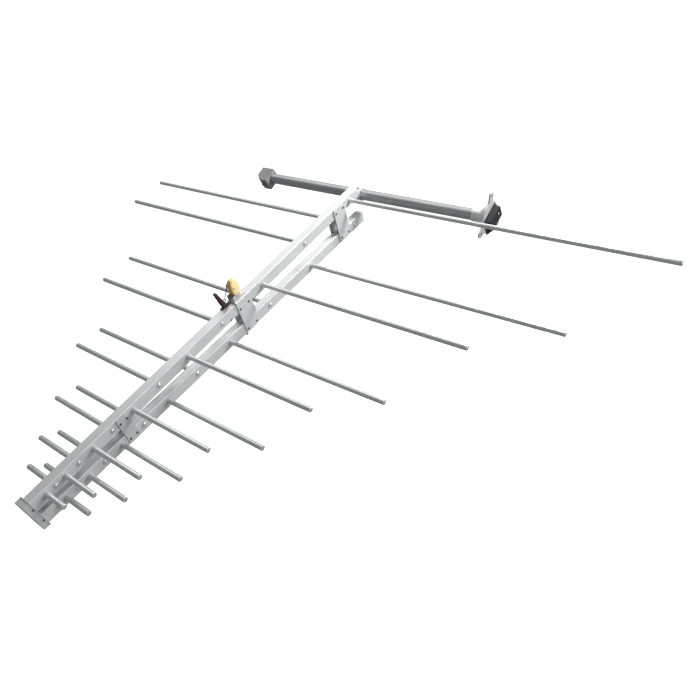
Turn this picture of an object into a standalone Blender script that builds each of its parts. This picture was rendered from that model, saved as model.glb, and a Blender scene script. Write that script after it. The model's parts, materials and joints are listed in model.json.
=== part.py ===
"""Log-periodic dipole antenna that folds in the middle, on a cross tube with a mast flange.

The booms run along Y with the short elements at the -Y end, the elements run along X and +Z is
up. The origin is on the cross tube's axis, in the plane of the flange's seat.
"""

import math

import bmesh
import bpy
from mathutils import Vector

MM = 0.001

# Booms: two rectangular tubes, one above the other, that spread apart towards the rear.
BOOM_WIDTH = 20 * MM
BOOM_HEIGHT = 25 * MM
BOOM_WALL = 1.5 * MM
BOOM_SLOPE = 0.018
NOSE_HALF_SPACING = 17.3 * MM
NOSE_OVERHANG = 37 * MM
REAR_OVERHANG = 35 * MM

# Elements: the spacing shrinks by one ratio, and the half lengths follow a straight taper.
ELEMENT_COUNT = 13
ARRAY_LENGTH = 860 * MM
SPACING_RATIO = 0.808
REAR_ELEMENT_SHIFT = 7 * MM
SHORTEST_HALF = 59 * MM
LONGEST_HALF = 711 * MM
ELEMENT_RADIUS = 5 * MM
ELEMENT_EDGE = 1 * MM
SPIGOT_RADIUS = 3 * MM
HEAD_RADIUS = 4.6 * MM
HEAD_HEIGHT = 2.6 * MM

# Clearances.
SEAT_GAP = 0.3 * MM
HOLE_CLEARANCE = 0.4 * MM
SLIDING_CLEARANCE = 0.3 * MM

# Nose cap and feed point.
CAP_WALL = 2 * MM
CAP_DEPTH = 13 * MM
CAP_RIM = 0.8 * MM
FEED_PIN_RADIUS = 1.5 * MM
FEED_PIN_Y = -16 * MM

# Spreader plates, which hold the booms apart.
PLATE_THICKNESS = 2.5 * MM
FRONT_PLATE_Y = 161 * MM
FRONT_PLATE_LENGTH = 24 * MM
REAR_PLATE_Y = 817 * MM
REAR_PLATE_LENGTH = 40 * MM
PLATE_EDGE_MARGIN = 3 * MM
PLATE_CHAMFER = 4 * MM

# Folding joint between the front and the rear section.
JOINT_Y = 464 * MM
BRACKET_LENGTH = 40 * MM
BRACKET_WALL = 2 * MM
LEAF_THICKNESS = 1.5 * MM
LEAF_LENGTH = 32 * MM
LEAF_WIDTH = 18 * MM
KNUCKLE_RADIUS = 3.2 * MM
KNUCKLE_GAP = 0.3 * MM
CENTRE_KNUCKLE_WIDTH = 8.8 * MM
HINGE_PIN_RADIUS = 1.5 * MM
HINGE_PIN_HEAD = 2.6 * MM

# Draw latch on top of the joint.
LATCH_X = -2 * MM
LATCH_BASE_AHEAD = 13 * MM
LATCH_EAR_BEHIND = 6.5 * MM
LATCH_BASE_BEHIND = 19 * MM
LATCH_SHEET = 1.5 * MM
LATCH_SIDE_GAP = 0.5 * MM
LATCH_EAR_HEIGHT = 10 * MM
LATCH_PIN_Y = 480 * MM
LATCH_PIN_HEIGHT = 7 * MM
LATCH_PIN_RADIUS = 1.5 * MM
LATCH_EYE_WALL = 1.6 * MM
LEVER_WIDTH = 9 * MM
LEVER_THICKNESS = 5.5 * MM
LEVER_LENGTH = 30 * MM
GRIP_WIDTH = 14 * MM
GRIP_DEPTH = 22 * MM
GRIP_HEIGHT = 37 * MM
GRIP_BEHIND_PIN = 4.5 * MM
GRIP_BELOW_PIN = 4.2 * MM
GRIP_ROUNDNESS = 2.8
GRIP_EDGE = 3 * MM
LINK_PIVOT = 17.5 * MM
LINK_LENGTH = 30 * MM
LINK_DROP = math.radians(42)
LINK_WIRE_RADIUS = 1 * MM
LINK_EYE_RADIUS = 3.2 * MM
LINK_PIN_RADIUS = 1.3 * MM
CATCH_Y = 451 * MM
CATCH_X = -6 * MM
CATCH_FOOT_LENGTH = 22 * MM
CATCH_FOOT_WIDTH = 8 * MM
CATCH_HEIGHT = 40 * MM
CATCH_BASE_WIDTH = 11 * MM
CATCH_TIP_WIDTH = 7 * MM
CATCH_BASE_DEPTH = 8 * MM
CATCH_TIP_DEPTH = 5 * MM
CATCH_LEAN = 9 * MM

# Feed cable inside the upper boom.
CABLE_RADIUS = 2.2 * MM
CABLE_PLUG_RADIUS = 3.6 * MM
CABLE_PLUG_LENGTH = 16 * MM

# Cross tube, its saddle and the parts on its ends, which are turned a little about its axis.
TUBE_RADIUS = 12.5 * MM
TUBE_WALL = 1.5 * MM
TUBE_BEHIND_BOOM = 16.5 * MM
TUBE_DROP = 16.3 * MM
TUBE_LEFT_X = -289 * MM
TUBE_RIGHT_X = 318 * MM
END_ROLL = math.radians(16)
SADDLE_WALL = 3 * MM
SADDLE_WIDTH = 18 * MM
SADDLE_SPIGOT = 24 * MM
SADDLE_BOLT_RADIUS = 2.5 * MM
SADDLE_BOLT_HEAD = 4.2 * MM

# Housing on the left end of the tube.
HOUSING_LENGTH = 38 * MM
HOUSING_INNER_X = -277 * MM
HOUSING_FRONT = -23 * MM
HOUSING_BACK = 17 * MM
HOUSING_BOTTOM = -17 * MM
HOUSING_TOP = 14 * MM
HOUSING_WALL = 2.5 * MM
HOUSING_CHAMFER = 14 * MM
COVER_THICKNESS = 2 * MM
CONNECTOR_RADIUS = 5.5 * MM
CONNECTOR_BORE = 3 * MM
CONNECTOR_STICK_OUT = 3 * MM

# Mast flange on the right end of the tube.
FLANGE_FACE_X = 335 * MM
FLANGE_THICKNESS = 3.5 * MM
FLANGE_RADIUS = 34 * MM
FLANGE_NECK_X = 297 * MM
FLANGE_NECK_RADIUS = 15.5 * MM
FLANGE_FLARE_X = 312 * MM
EAR_CIRCLE_RADIUS = 46 * MM
EAR_RADIUS = 8.5 * MM
EAR_HOLE_RADIUS = 3.3 * MM
EAR_ANGLES = (60, 180, 300)
CABLE_EXIT_RADIUS = 6 * MM
BLOCK_POCKET_DEPTH = 1 * MM
BLOCK_LENGTH = 15 * MM
BLOCK_HALF_WIDTH = 28 * MM
BLOCK_TOP = 16 * MM
BLOCK_BOTTOM = -27 * MM
BLOCK_END_HALF_WIDTH = 23 * MM
BLOCK_END_TOP = 15 * MM
BLOCK_END_BOTTOM = -13 * MM
BLOCK_RIB_COUNT = 3
BLOCK_RIB_DEPTH = 0.8 * MM
CONTACT_RADIUS = 3.5 * MM
CONTACT_DEPTH = 8 * MM
CONTACT_STICK_OUT = 1.2 * MM
CONTACT_PLACE = (10 * MM, 4 * MM)

ROUND_SIDES = 12
TUBE_SIDES = 32


def half_spacing(y):
    """Height of a boom's centre line above or below the middle plane, at this distance along."""
    return NOSE_HALF_SPACING + BOOM_SLOPE * y


# Places that follow from the sizes above.
BOOM_FRONT_Y = -NOSE_OVERHANG
BOOM_REAR_Y = ARRAY_LENGTH + REAR_OVERHANG
HINGE_Z = -(half_spacing(JOINT_Y) + BOOM_HEIGHT / 2 + SEAT_GAP + KNUCKLE_RADIUS)
BRACKET_TOP = half_spacing(JOINT_Y + BRACKET_LENGTH) + BOOM_HEIGHT / 2 + SEAT_GAP + BRACKET_WALL
LATCH_FLOOR = BRACKET_TOP + SEAT_GAP
LATCH_PIN_Z = LATCH_FLOOR + LATCH_PIN_HEIGHT
LATCH_BASE_WIDTH = GRIP_WIDTH + 2 * (LATCH_SIDE_GAP + LATCH_SHEET)
CABLE_PLUG_SEAT = BOOM_WALL + SEAT_GAP + CABLE_PLUG_RADIUS
CABLE_X = BOOM_WIDTH / 2 - CABLE_PLUG_SEAT
CABLE_OFFSET = CABLE_PLUG_SEAT - BOOM_HEIGHT / 2
TUBE_Y = BOOM_REAR_Y + TUBE_BEHIND_BOOM
TUBE_Z = half_spacing(BOOM_REAR_Y) - TUBE_DROP
BLOCK_SEAT_X = FLANGE_FACE_X - BLOCK_POCKET_DEPTH + SEAT_GAP
ORIGIN = Vector((FLANGE_FACE_X, TUBE_Y, TUBE_Z))


def element_positions():
    """Distance of each element from the first, and its half length."""
    reach = 1 - SPACING_RATIO ** (ELEMENT_COUNT - 1)
    places = []
    for index in range(ELEMENT_COUNT):
        share = 1 - (1 - SPACING_RATIO ** (ELEMENT_COUNT - 1 - index)) / reach
        y = ARRAY_LENGTH * share
        if JOINT_Y < y < ARRAY_LENGTH:
            y += REAR_ELEMENT_SHIFT
        half = SHORTEST_HALF + (LONGEST_HALF - SHORTEST_HALF) * y / ARRAY_LENGTH
        places.append((y, half))
    return places


# ---- materials -------------------------------------------------------------------------------

FINISHES = {
    "boom_aluminium": ((0.72, 0.73, 0.75), 0.42, 0.85),
    "element_aluminium": ((0.70, 0.71, 0.72), 0.35, 0.9),
    "tube_aluminium": ((0.45, 0.46, 0.47), 0.45, 0.8),
    "grey_plastic": ((0.62, 0.62, 0.64), 0.55, 0.0),
    "zinc_steel": ((0.62, 0.62, 0.60), 0.4, 0.9),
    "bronzed_steel": ((0.16, 0.11, 0.09), 0.45, 0.7),
    "yellow_plastic": ((0.90, 0.66, 0.20), 0.45, 0.0),
    "cast_aluminium": ((0.66, 0.67, 0.68), 0.55, 0.7),
    "black_plastic": ((0.03, 0.03, 0.035), 0.5, 0.0),
    "brass": ((0.62, 0.44, 0.22), 0.3, 1.0),
    "cable_jacket": ((0.05, 0.05, 0.05), 0.6, 0.0),
}


def make_materials():
    made = {}
    for name, (colour, roughness, metallic) in FINISHES.items():
        material = bpy.data.materials.new(name)
        material.use_nodes = True
        shader = material.node_tree.nodes["Principled BSDF"]
        shader.inputs["Base Color"].default_value = (*colour, 1)
        shader.inputs["Roughness"].default_value = roughness
        shader.inputs["Metallic"].default_value = metallic
        made[name] = material
    return made


# ---- shapes ----------------------------------------------------------------------------------

def loft(rings, closed=False):
    """Solid skinned over rings of equally many points: capped, or closed round like a tube wall."""
    shape = bmesh.new()
    rows = [[shape.verts.new(point) for point in ring] for ring in rings]
    count = len(rows[0])
    pairs = list(zip(rows, rows[1:]))
    if closed:
        pairs.append((rows[-1], rows[0]))
    for first, second in pairs:
        for i in range(count):
            j = (i + 1) % count
            shape.faces.new((first[i], first[j], second[j], second[i]))
    if not closed:
        shape.faces.new(rows[0])
        shape.faces.new(rows[-1])
    bmesh.ops.recalc_face_normals(shape, faces=shape.faces)
    return shape


def circle(radius, along, axis, sides, centre=(0, 0)):
    """Ring of points square to an axis; the centre is given in the two other directions."""
    points = []
    for step in range(sides):
        angle = 2 * math.pi * (step + 0.5) / sides
        across = centre[0] + radius * math.cos(angle)
        up = centre[1] + radius * math.sin(angle)
        points.append(on_axis(axis, along, across, up))
    return points


def on_axis(axis, along, across, up):
    if axis == "X":
        return Vector((along, across, up))
    if axis == "Y":
        return Vector((across, along, up))
    return Vector((across, up, along))


def turned(profile, axis="X", sides=ROUND_SIDES, centre=(0, 0)):
    """Solid of revolution through (distance along the axis, radius) points."""
    return loft([circle(radius, along, axis, sides, centre) for along, radius in profile])


def turned_ring(profile, axis="X", sides=TUBE_SIDES):
    """Ring-shaped solid of revolution, open along its middle."""
    return loft([circle(radius, along, axis, sides) for along, radius in profile], closed=True)


def rectangle(half_across, half_up, along, axis, centre=(0, 0)):
    corners = ((-1, -1), (1, -1), (1, 1), (-1, 1))
    return [
        on_axis(axis, along, centre[0] + a * half_across, centre[1] + u * half_up)
        for a, u in corners
    ]


def box(low, high):
    half = [(h - l) / 2 for l, h in zip(low, high)]
    middle = ((low[0] + high[0]) / 2, (low[1] + high[1]) / 2)
    ends = (low[2], high[2])
    return loft([rectangle(half[0], half[1], z, "Z", middle) for z in ends])


def prism(outline, low, high, axis):
    """Outline of (across, up) points carried along an axis."""
    return loft([[on_axis(axis, along, a, u) for a, u in outline] for along in (low, high)])


def joined(*shapes):
    """Several closed shapes in one mesh, for a cutter whose shapes stay apart."""
    whole = bmesh.new()
    for shape in shapes:
        part = bpy.data.meshes.new("part")
        shape.to_mesh(part)
        whole.from_mesh(part)
        bpy.data.meshes.remove(part)
        shape.free()
    return whole


# ---- scene objects ---------------------------------------------------------------------------

def clear_scene():
    for item in list(bpy.data.objects):
        bpy.data.objects.remove(item, do_unlink=True)


def add_object(name, shape, parent, location=(0, 0, 0)):
    mesh = bpy.data.meshes.new(name)
    shape.to_mesh(mesh)
    shape.free()
    item = bpy.data.objects.new(name, mesh)
    bpy.context.collection.objects.link(item)
    item.parent = parent
    item.location = location
    return item


def add_piece(name, shape, parent, finish, location=(0, 0, 0)):
    piece = add_object(name, shape, parent, location)
    piece.data.materials.append(MATERIALS[finish])
    piece.data.shade_smooth()
    piece.data.set_sharp_from_angle(angle=math.radians(35))
    return piece


def combine(piece, shape, operation):
    """Adds or cuts a helper shape, given in the piece's own coordinates."""
    helper = add_object(f"{piece.name}_{operation.lower()}", shape, piece)
    helper.hide_render = True
    helper.display_type = "WIRE"
    step = piece.modifiers.new(operation.title(), "BOOLEAN")
    step.operation = operation
    step.solver = "EXACT"
    step.object = helper


def add_anchor(name, parent, place, turn=0.0):
    """Empty at a place in array coordinates, turned about X; pieces under it use its own axes."""
    anchor = bpy.data.objects.new(name, None)
    bpy.context.collection.objects.link(anchor)
    anchor.parent = parent
    anchor.location = Vector(place) - (Vector(parent["place"]) if parent else ORIGIN)
    anchor.rotation_euler = (turn, 0, 0)
    anchor["place"] = tuple(place)
    return anchor


# ---- booms and elements ----------------------------------------------------------------------

def boom_anchor(name, section, side):
    """Empty at the first element's station of one boom, turned along the boom."""
    place = (0, 0, side * NOSE_HALF_SPACING)
    return add_anchor(name, section, place, side * math.atan(BOOM_SLOPE))


def add_boom(name, anchor, start, end, elements, extra_cutters=()):
    """Rectangular tube with a pair of clearance holes for each element on it."""
    outer = (BOOM_WIDTH / 2, BOOM_HEIGHT / 2)
    inner = (outer[0] - BOOM_WALL, outer[1] - BOOM_WALL)
    rings = [rectangle(*size, along, "Y") for size, along in
             ((outer, start), (outer, end), (inner, end), (inner, start))]
    boom = add_piece(name, loft(rings, closed=True), anchor, "boom_aluminium")
    radius = SPIGOT_RADIUS + HOLE_CLEARANCE
    cutters = [
        turned(((-BOOM_WIDTH, radius), (BOOM_WIDTH, radius)), "X", ROUND_SIDES, (y, 0))
        for y, _ in elements
    ]
    cutters.extend(extra_cutters)
    combine(boom, joined(*cutters), "DIFFERENCE")
    return boom


def element_profile(half):
    """Rod, spigot through the boom and domed fixing head, from the head to the rod's tip."""
    wall = BOOM_WIDTH / 2 + SEAT_GAP
    return (
        (-wall - HEAD_HEIGHT, HEAD_RADIUS * 0.45),
        (-wall - HEAD_HEIGHT * 0.6, HEAD_RADIUS * 0.9),
        (-wall, HEAD_RADIUS),
        (-wall, SPIGOT_RADIUS),
        (wall, SPIGOT_RADIUS),
        (wall, ELEMENT_RADIUS),
        (half - ELEMENT_EDGE, ELEMENT_RADIUS),
        (half, ELEMENT_RADIUS - ELEMENT_EDGE),
    )


def add_elements(places, anchors):
    """Each dipole has one half on each boom, and neighbouring dipoles change sides."""
    for index, (y, half) in enumerate(places):
        section = "front" if y < JOINT_Y else "rear"
        odd = index % 2 == 0
        for side, sign, level in (
            ("right", 1, "upper" if odd else "lower"),
            ("left", -1, "lower" if odd else "upper"),
        ):
            profile = [(sign * along, radius) for along, radius in element_profile(half)]
            name = f"element_{index + 1:02d}_{side}"
            add_piece(name, turned(profile), anchors[level, section], "element_aluminium",
                      (0, y, 0))


# ---- nose ------------------------------------------------------------------------------------

def add_nose(anchors, front):
    """Plastic cap over both boom ends, and the pin that feeds one boom from the other."""
    end = BOOM_FRONT_Y + CAP_DEPTH - CAP_WALL - SEAT_GAP
    start = BOOM_FRONT_Y - SEAT_GAP - CAP_WALL
    half_width = BOOM_WIDTH / 2 + SEAT_GAP + CAP_WALL
    half_height = half_spacing(end) + BOOM_HEIGHT / 2 + SEAT_GAP + CAP_WALL
    rim_start = end - CAP_WALL
    edge = CAP_WALL / 2
    rings = [
        rectangle(half_width - edge, half_height - edge, start, "Y"),
        rectangle(half_width, half_height, start + edge, "Y"),
        rectangle(half_width, half_height, rim_start, "Y"),
        rectangle(half_width + CAP_RIM, half_height + CAP_RIM, rim_start + CAP_RIM / 2, "Y"),
        rectangle(half_width + CAP_RIM, half_height + CAP_RIM, end, "Y"),
    ]
    cap = add_piece("nose_cap", loft(rings), front, "grey_plastic",
                    -Vector(front["place"]))
    pockets = []
    for side in (1, -1):
        middle = side * half_spacing((start + end) / 2)
        reach = BOOM_HEIGHT / 2 + SEAT_GAP + BOOM_SLOPE * CAP_DEPTH / 2
        low = (-BOOM_WIDTH / 2 - SEAT_GAP, start + CAP_WALL, middle - reach)
        high = (BOOM_WIDTH / 2 + SEAT_GAP, end + CAP_WALL, middle + reach)
        pockets.append(box(low, high))
    combine(cap, joined(*pockets), "DIFFERENCE")

    reach = half_spacing(FEED_PIN_Y) - BOOM_HEIGHT / 2 + BOOM_WALL + FEED_PIN_RADIUS
    head = reach + FEED_PIN_RADIUS
    profile = (
        (-head, FEED_PIN_RADIUS * 1.8), (-reach, FEED_PIN_RADIUS * 1.8),
        (-reach, FEED_PIN_RADIUS), (reach, FEED_PIN_RADIUS),
        (reach, FEED_PIN_RADIUS * 1.8), (head, FEED_PIN_RADIUS * 1.8),
    )
    place = Vector((0, FEED_PIN_Y, 0)) - Vector(front["place"])
    add_piece("feed_pin", turned(profile, "Z"), front, "brass", place)


def feed_pin_hole(side):
    """Cutter for the pin in the wall that faces the other boom, in the boom's own axes."""
    wall = -side * BOOM_HEIGHT / 2
    radius = FEED_PIN_RADIUS + HOLE_CLEARANCE
    span = ((wall - 2 * BOOM_WALL, radius), (wall + 2 * BOOM_WALL, radius))
    return turned(span, "Z", ROUND_SIDES, (0, FEED_PIN_Y))


# ---- spreader plates -------------------------------------------------------------------------

def add_spreaders(name, section, middle, length):
    """Pair of plates on the booms' side faces, chamfered at their corners."""
    half_height = half_spacing(middle) + BOOM_HEIGHT / 2 - PLATE_EDGE_MARGIN
    half = length / 2
    cut = PLATE_CHAMFER
    outline = [
        (-half, -half_height + cut / 2), (-half + cut / 2, -half_height),
        (half - cut, -half_height), (half, -half_height + cut),
        (half, half_height - cut), (half - cut, half_height),
        (-half + cut / 2, half_height), (-half, half_height - cut / 2),
    ]
    inner = BOOM_WIDTH / 2 + SEAT_GAP
    outer = inner + PLATE_THICKNESS
    place = Vector((0, middle, 0)) - Vector(section["place"])
    for side, sign in (("right", 1), ("left", -1)):
        low, high = sorted((sign * inner, sign * outer))
        add_piece(f"{name}_spreader_{side}", prism(outline, low, high, "X"), section,
                  "grey_plastic", place)


# ---- folding joint ---------------------------------------------------------------------------

def add_bracket(rear):
    """Saddle over the top and sides of both rear booms at the joint."""
    start = JOINT_Y + SEAT_GAP
    end = JOINT_Y + BRACKET_LENGTH
    inner = BOOM_WIDTH / 2 + SEAT_GAP
    outer = inner + BRACKET_WALL
    skirt = -(half_spacing(JOINT_Y) + BOOM_HEIGHT / 2 - PLATE_EDGE_MARGIN)
    roof = BRACKET_TOP - BRACKET_WALL
    bend = BRACKET_WALL
    outline = [
        (-outer, skirt), (-inner, skirt), (-inner, roof), (inner, roof), (inner, skirt),
        (outer, skirt), (outer, BRACKET_TOP - bend), (outer - bend, BRACKET_TOP),
        (-outer + bend, BRACKET_TOP), (-outer, BRACKET_TOP - bend),
    ]
    add_piece("joint_bracket", prism(outline, start, end, "Y"), rear, "boom_aluminium",
              -Vector(rear["place"]))


def add_leaf(name, section, sign, knuckles):
    """Hinge leaf under a lower boom, with its knuckles round the pin; sign is +1 to the rear."""
    top = KNUCKLE_RADIUS
    plate_start = KNUCKLE_RADIUS + KNUCKLE_GAP
    # The leaf lies along the boom, which drops away from the joint to the rear.
    rise = -BOOM_SLOPE * sign * LEAF_LENGTH
    half = LEAF_WIDTH / 2
    outline = [
        (sign * plate_start, top - LEAF_THICKNESS), (sign * plate_start, top),
        (sign * LEAF_LENGTH, top + rise), (sign * LEAF_LENGTH, top + rise - LEAF_THICKNESS),
    ]
    place = Vector((0, JOINT_Y, HINGE_Z)) - Vector(section["place"])
    leaf = add_piece(name, prism(outline, -half, half, "X"), section, "zinc_steel", place)
    for low, high in knuckles:
        barrel = turned(((low, KNUCKLE_RADIUS), (high, KNUCKLE_RADIUS)), "X", ROUND_SIDES)
        combine(leaf, barrel, "UNION")
        bridge = [
            (0, top - LEAF_THICKNESS), (0, top - 0.05 * MM),
            (sign * plate_start * 1.2, top - 0.05 * MM),
            (sign * plate_start * 1.2, top - LEAF_THICKNESS),
        ]
        combine(leaf, prism(bridge, low, high, "X"), "UNION")
    radius = HINGE_PIN_RADIUS + SLIDING_CLEARANCE
    bore = turned(((-LEAF_WIDTH, radius), (LEAF_WIDTH, radius)), "X", ROUND_SIDES)
    combine(leaf, bore, "DIFFERENCE")


def add_hinge(front, rear):
    half = LEAF_WIDTH / 2
    centre = CENTRE_KNUCKLE_WIDTH / 2
    side = centre + KNUCKLE_GAP
    add_leaf("hinge_leaf_front", front, -1, ((-half, -side), (side, half)))
    add_leaf("hinge_leaf_rear", rear, 1, ((-centre, centre),))
    head = half + SEAT_GAP
    tip = head + HINGE_PIN_RADIUS
    profile = (
        (-tip, HINGE_PIN_HEAD * 0.7), (-head, HINGE_PIN_HEAD), (-head, HINGE_PIN_RADIUS),
        (head, HINGE_PIN_RADIUS), (head, HINGE_PIN_HEAD), (tip, HINGE_PIN_HEAD * 0.7),
    )
    place = Vector((0, JOINT_Y, HINGE_Z)) - Vector(rear["place"])
    add_piece("hinge_pin", turned(profile), rear, "zinc_steel", place)


# ---- latch -----------------------------------------------------------------------------------

def add_latch_base(rear):
    """Folded sheet foot with two ears for the lever's pin."""
    half = LATCH_BASE_WIDTH / 2
    ear = half - LATCH_SHEET
    place = Vector((LATCH_X, LATCH_PIN_Y, LATCH_FLOOR)) - Vector(rear["place"])
    shape = prism(
        [(-half, 0), (half, 0), (half, LATCH_EAR_HEIGHT), (ear, LATCH_EAR_HEIGHT),
         (ear, LATCH_SHEET), (-ear, LATCH_SHEET), (-ear, LATCH_EAR_HEIGHT),
         (-half, LATCH_EAR_HEIGHT)],
        -LATCH_BASE_AHEAD, LATCH_EAR_BEHIND, "Y")
    base = add_piece("latch_base", shape, rear, "zinc_steel", place)
    tail = box((-half, 0, 0), (half, LATCH_BASE_BEHIND, LATCH_SHEET))
    combine(base, tail, "UNION")
    radius = LATCH_PIN_RADIUS + SLIDING_CLEARANCE
    span = ((-LATCH_BASE_WIDTH, radius), (LATCH_BASE_WIDTH, radius))
    combine(base, turned(span, "X", ROUND_SIDES, (0, LATCH_PIN_HEIGHT)), "DIFFERENCE")

    head = half + SEAT_GAP
    tip = head + LATCH_PIN_RADIUS
    profile = (
        (-tip, LATCH_PIN_RADIUS), (-head, LATCH_PIN_RADIUS * 1.8), (-head, LATCH_PIN_RADIUS),
        (head, LATCH_PIN_RADIUS), (head, LATCH_PIN_RADIUS * 1.8), (tip, LATCH_PIN_RADIUS),
    )
    pin_place = place + Vector((0, 0, LATCH_PIN_HEIGHT))
    add_piece("latch_lever_pin", turned(profile), rear, "zinc_steel", pin_place)


def add_lever(lever):
    """Steel tongue with an eye on the pin, and the moulded grip over it."""
    half = LEVER_WIDTH / 2
    bore = LATCH_PIN_RADIUS + SLIDING_CLEARANCE
    eye = bore + LATCH_EYE_WALL
    thick = LEVER_THICKNESS / 2
    tongue = add_piece("latch_lever", box((-half, -thick, 0), (half, thick, LEVER_LENGTH)),
                       lever, "zinc_steel")
    combine(tongue, turned(((-half, eye), (half, eye))), "UNION")
    pin_span = ((-GRIP_WIDTH, bore), (GRIP_WIDTH, bore))
    combine(tongue, turned(pin_span), "DIFFERENCE")
    hole = LINK_PIN_RADIUS + SLIDING_CLEARANCE
    link_span = ((-GRIP_WIDTH, hole), (GRIP_WIDTH, hole))
    combine(tongue, turned(link_span, "X", ROUND_SIDES, (0, LINK_PIVOT)), "DIFFERENCE")

    # The grip is a thick rounded blade whose edges fall away towards its sides.
    rings = []
    for share, inset in ((-1, 1), (-0.88, 0.3), (-0.6, 0), (0.6, 0), (0.88, 0.3), (1, 1)):
        rings.append(grip_ring(GRIP_WIDTH / 2 * share, GRIP_EDGE * inset))
    grip = add_piece("latch_grip", loft(rings), lever, "yellow_plastic")
    slack = SEAT_GAP
    slot = box((-half - slack, -eye - slack, -GRIP_HEIGHT),
               (half + slack, eye + slack, LEVER_LENGTH + slack))
    combine(grip, slot, "DIFFERENCE")
    combine(grip, turned(pin_span), "DIFFERENCE")
    combine(grip, turned(link_span, "X", ROUND_SIDES, (0, LINK_PIVOT)), "DIFFERENCE")


def grip_ring(along, inset):
    """Outline of the grip's blade at one width, between an ellipse and a rectangle."""
    middle = (GRIP_BEHIND_PIN, GRIP_HEIGHT / 2 - GRIP_BELOW_PIN)
    half = (GRIP_DEPTH / 2 - inset, GRIP_HEIGHT / 2 - inset)
    points = []
    for step in range(28):
        angle = 2 * math.pi * step / 28
        c, s = math.cos(angle), math.sin(angle)
        across = middle[0] + half[0] * math.copysign(abs(c) ** (2 / GRIP_ROUNDNESS), c)
        up = middle[1] + half[1] * math.copysign(abs(s) ** (2 / GRIP_ROUNDNESS), s)
        points.append(Vector((along, across, up)))
    return points


def link_x():
    """The link hangs on the left, clear of the head of the lever's pin."""
    pin_end = LATCH_BASE_WIDTH / 2 + SEAT_GAP + LATCH_PIN_RADIUS
    return -(pin_end + SEAT_GAP + LINK_WIRE_RADIUS)


def add_link(lever, link):
    """Wire link with an eye at each end, and the pin that carries it through the grip."""
    x = link_x()
    sides = 8
    steps = 16
    centres = []
    for step in range(steps):
        angle = 2 * math.pi * step / steps
        centres.append((math.cos(angle), math.sin(angle)))

    def eye_at(distance):
        rings = []
        for c, s in centres:
            middle = Vector((x, LINK_EYE_RADIUS * c, -distance + LINK_EYE_RADIUS * s))
            out = Vector((0, c, s))
            ring = []
            for k in range(sides):
                turn = 2 * math.pi * k / sides
                ring.append(middle + LINK_WIRE_RADIUS * (
                    math.cos(turn) * out + math.sin(turn) * Vector((1, 0, 0))))
            rings.append(ring)
        return loft(rings, closed=True)

    shank = turned(
        ((-LINK_LENGTH + LINK_EYE_RADIUS, LINK_WIRE_RADIUS),
         (-LINK_EYE_RADIUS, LINK_WIRE_RADIUS)), "Z", sides, (x, 0))
    piece = add_piece("latch_link", eye_at(0), link, "bronzed_steel")
    combine(piece, shank, "UNION")
    combine(piece, eye_at(LINK_LENGTH), "UNION")

    outer = x - LINK_WIRE_RADIUS - SEAT_GAP
    collar = x + LINK_WIRE_RADIUS + SEAT_GAP
    side = GRIP_WIDTH / 2 + SEAT_GAP
    head = LINK_PIN_RADIUS * 1.9
    profile = (
        (outer - LINK_PIN_RADIUS, LINK_PIN_RADIUS), (outer, head), (outer, LINK_PIN_RADIUS),
        (collar, LINK_PIN_RADIUS), (collar, head), (-side, head), (-side, LINK_PIN_RADIUS),
        (side, LINK_PIN_RADIUS), (side, head), (side + LINK_PIN_RADIUS, LINK_PIN_RADIUS),
    )
    add_piece("latch_link_pin", turned(profile), lever, "zinc_steel", (0, 0, LINK_PIVOT))


def add_catch(anchor):
    """Tall stamped channel with a narrow tip that leans forward, on a foot."""
    floor = BOOM_HEIGHT / 2 + SEAT_GAP
    foot_low = (-CATCH_FOOT_WIDTH / 2, -CATCH_FOOT_LENGTH / 2, 0)
    foot_high = (CATCH_FOOT_WIDTH / 2, CATCH_FOOT_LENGTH / 2, LATCH_SHEET)
    place = (CATCH_X, CATCH_Y, floor)
    catch = add_piece("latch_catch", box(foot_low, foot_high), anchor, "bronzed_steel", place)
    wall = LATCH_SHEET

    def channel(half_width, depth, along, shift):
        """Channel section, open to the front."""
        back = depth / 2 + shift
        mouth = -depth / 2 + shift
        return [
            Vector((x, y, along)) for x, y in (
                (-half_width, mouth), (-half_width + wall, mouth),
                (-half_width + wall, back - wall), (half_width - wall, back - wall),
                (half_width - wall, mouth), (half_width, mouth),
                (half_width, back), (-half_width, back))
        ]

    rings = [
        channel(CATCH_BASE_WIDTH / 2 * 0.8, CATCH_BASE_DEPTH, 0.1 * MM, 0),
        channel(CATCH_BASE_WIDTH / 2, CATCH_BASE_DEPTH, CATCH_HEIGHT * 0.3, -CATCH_LEAN * 0.3),
        channel(CATCH_BASE_WIDTH / 2 * 0.8, CATCH_BASE_DEPTH * 0.8, CATCH_HEIGHT * 0.6,
                -CATCH_LEAN * 0.6),
        channel(CATCH_TIP_WIDTH / 2, CATCH_TIP_DEPTH, CATCH_HEIGHT, -CATCH_LEAN),
    ]
    combine(catch, loft(rings), "UNION")


# ---- feed cable ------------------------------------------------------------------------------

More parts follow.
